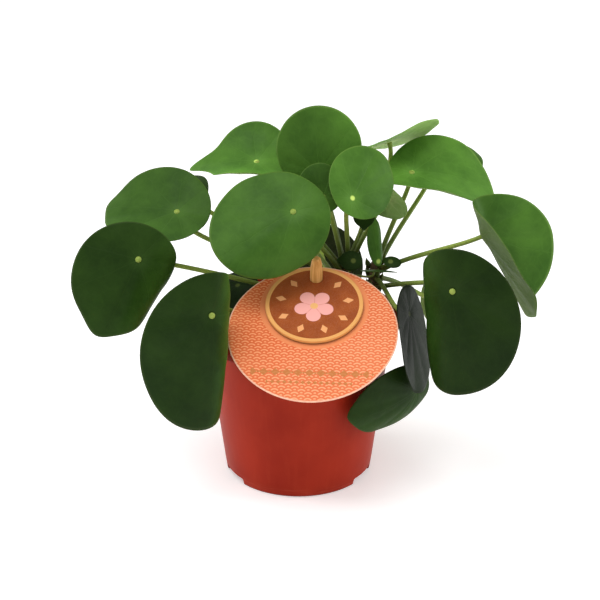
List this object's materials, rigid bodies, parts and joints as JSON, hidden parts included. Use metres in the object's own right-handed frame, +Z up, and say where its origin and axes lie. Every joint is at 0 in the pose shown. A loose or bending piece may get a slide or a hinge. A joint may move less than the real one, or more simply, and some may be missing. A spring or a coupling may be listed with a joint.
{
  "type": "potted plant",
  "caption": "Round-leaved house plant on long thin stalks in a tapered plastic nursery pot, with a round label card held by a wooden stake.",
  "frame": {"origin": "centre of the pot's base, on the plane that the pot stands on", "axes": "+Z up along the pot's axis, -Y towards the front, where the label is, and +X to the right as seen from the front"},
  "size_m": [0.2799, 0.1979, 0.214],
  "materials": {
    "terracotta_plastic": "satin moulded",
    "potting_soil": "crumbly, matte",
    "stem_bark": "rough",
    "leaf_green": "waxy, semi-gloss",
    "stalk_green": "satin",
    "printed_card": "printed, matte",
    "disc_brown": "printed, matte",
    "pale_wood": "sanded, unvarnished"
  },
  "bodies": {
    "root": {"pot": "terracotta_plastic", "soil": "potting_soil", "main_stem": "stem_bark", "side_shoot": "stem_bark", "leaf_far_left": "leaf_green", "leaf_far_left_stalk": "stalk_green", "leaf_left": "leaf_green", "leaf_left_stalk": "stalk_green", "leaf_top_left": "leaf_green", "leaf_top_left_stalk": "stalk_green", "leaf_front": "leaf_green", "leaf_front_stalk": "stalk_green", "leaf_top": "leaf_green", "leaf_top_stalk": "stalk_green", "leaf_inner": "leaf_green", "leaf_inner_stalk": "stalk_green", "leaf_centre_right": "leaf_green", "leaf_centre_right_stalk": "stalk_green", "leaf_turned_away": "leaf_green", "leaf_turned_away_stalk": "stalk_green", "leaf_top_right": "leaf_green", "leaf_top_right_stalk": "stalk_green", "leaf_right_upper": "leaf_green", "leaf_right_upper_stalk": "stalk_green", "leaf_right_back": "leaf_green", "leaf_right_back_stalk": "stalk_green", "leaf_far_right": "leaf_green", "leaf_far_right_stalk": "stalk_green", "leaf_low_right": "leaf_green", "leaf_low_right_stalk": "stalk_green", "leaf_beside_card": "leaf_green", "leaf_beside_card_stalk": "stalk_green", "leaf_front_low": "leaf_green", "leaf_front_low_stalk": "stalk_green", "leaf_low_left": "leaf_green", "leaf_low_left_stalk": "stalk_green", "leaf_behind_left": "leaf_green", "leaf_behind_left_stalk": "stalk_green", "leaf_back_left": "leaf_green", "leaf_back_left_stalk": "stalk_green", "leaf_back": "leaf_green", "leaf_back_stalk": "stalk_green", "leaf_back_low": "leaf_green", "leaf_back_low_stalk": "stalk_green", "leaf_back_right": "leaf_green", "leaf_back_right_stalk": "stalk_green", "young_leaf_pointed": "leaf_green", "young_leaf_pointed_stalk": "stalk_green", "young_leaf_folded": "leaf_green", "young_leaf_folded_stalk": "stalk_green", "young_leaf_oval": "leaf_green", "young_leaf_oval_stalk": "stalk_green", "young_leaf_flat": "leaf_green", "young_leaf_flat_stalk": "stalk_green", "young_leaf_dark": "leaf_green", "young_leaf_dark_stalk": "stalk_green", "label_card": "printed_card", "label_disc": "disc_brown", "label_stake": "pale_wood"}
  },
  "joints": []
}
